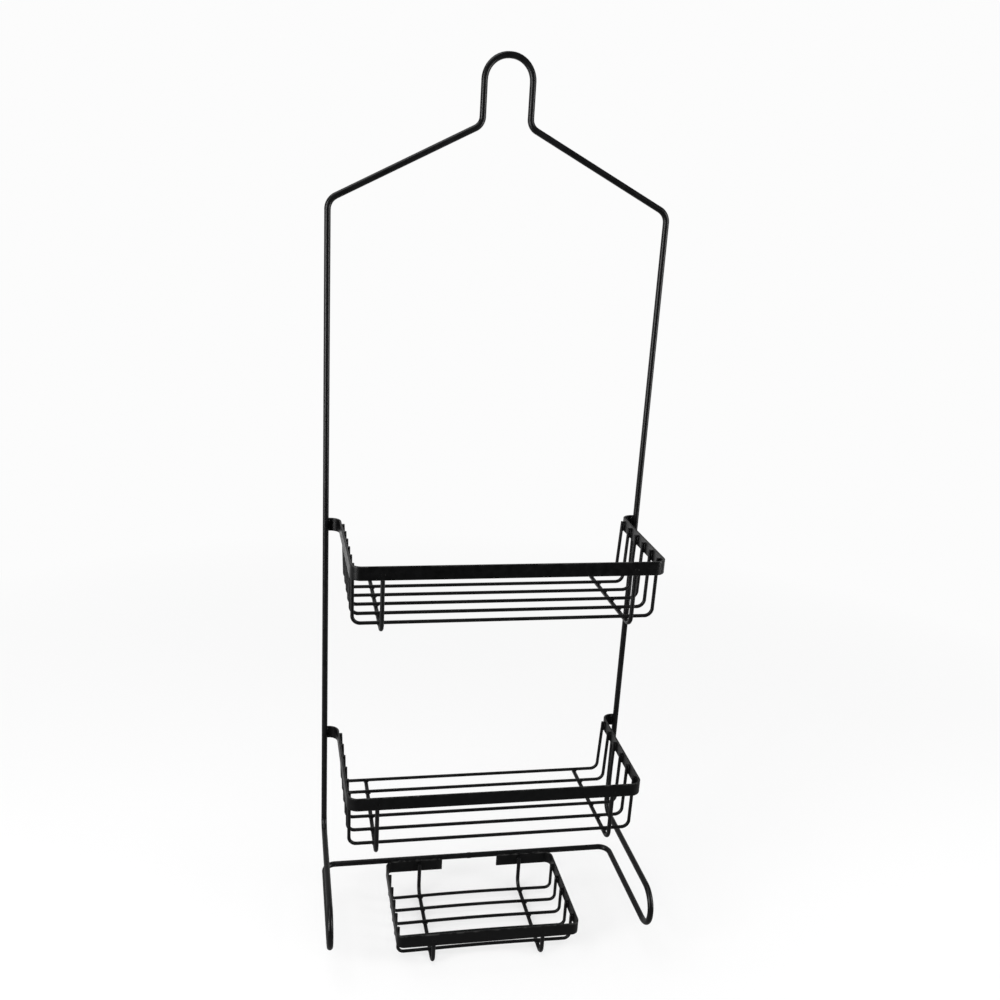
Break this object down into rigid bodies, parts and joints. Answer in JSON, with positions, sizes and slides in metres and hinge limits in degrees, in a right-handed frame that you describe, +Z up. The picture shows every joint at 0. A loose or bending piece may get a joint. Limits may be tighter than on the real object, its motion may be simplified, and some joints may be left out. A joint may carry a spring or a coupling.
{
  "type": "shower caddy",
  "caption": "Tall hanging shower caddy of bent black wire with a hook, open baskets, forward leg loops and a soap dish.",
  "frame": {"origin": "under the middle of the bounding box, on the surface that the soap dish's cross wires rest on", "axes": "+Z up towards the hook, -Y to the front where the baskets and legs reach out, +X to the right seen from the front"},
  "size_m": [0.2648, 0.1304, 0.7024],
  "materials": {
    "frame_coat": "semi-gloss black powder coat on bent round wire",
    "strip_coat": "semi-gloss black powder coat on flat strip",
    "long_wire_coat": "semi-gloss black powder coat on thin wire",
    "cross_wire_coat": "semi-gloss black powder coat on wire"
  },
  "bodies": {
    "root": {"frame_wire": "frame_coat", "upper_band": "strip_coat", "upper_cross_left": "cross_wire_coat", "upper_cross_right": "cross_wire_coat", "upper_wire_1": "long_wire_coat", "upper_wire_2": "long_wire_coat", "upper_wire_3": "long_wire_coat", "upper_wire_4": "long_wire_coat", "upper_wire_5": "long_wire_coat", "upper_wire_6": "long_wire_coat", "lower_band": "strip_coat", "lower_cross_left": "cross_wire_coat", "lower_cross_right": "cross_wire_coat", "lower_wire_1": "long_wire_coat", "lower_wire_2": "long_wire_coat", "lower_wire_3": "long_wire_coat", "lower_wire_4": "long_wire_coat", "lower_wire_5": "long_wire_coat", "lower_wire_6": "long_wire_coat", "dish_band": "strip_coat", "dish_cross_left": "cross_wire_coat", "dish_cross_right": "cross_wire_coat", "dish_wire_1": "long_wire_coat", "dish_wire_2": "long_wire_coat", "dish_wire_3": "long_wire_coat", "dish_wire_4": "long_wire_coat", "dish_wire_5": "long_wire_coat"}
  },
  "joints": []
}
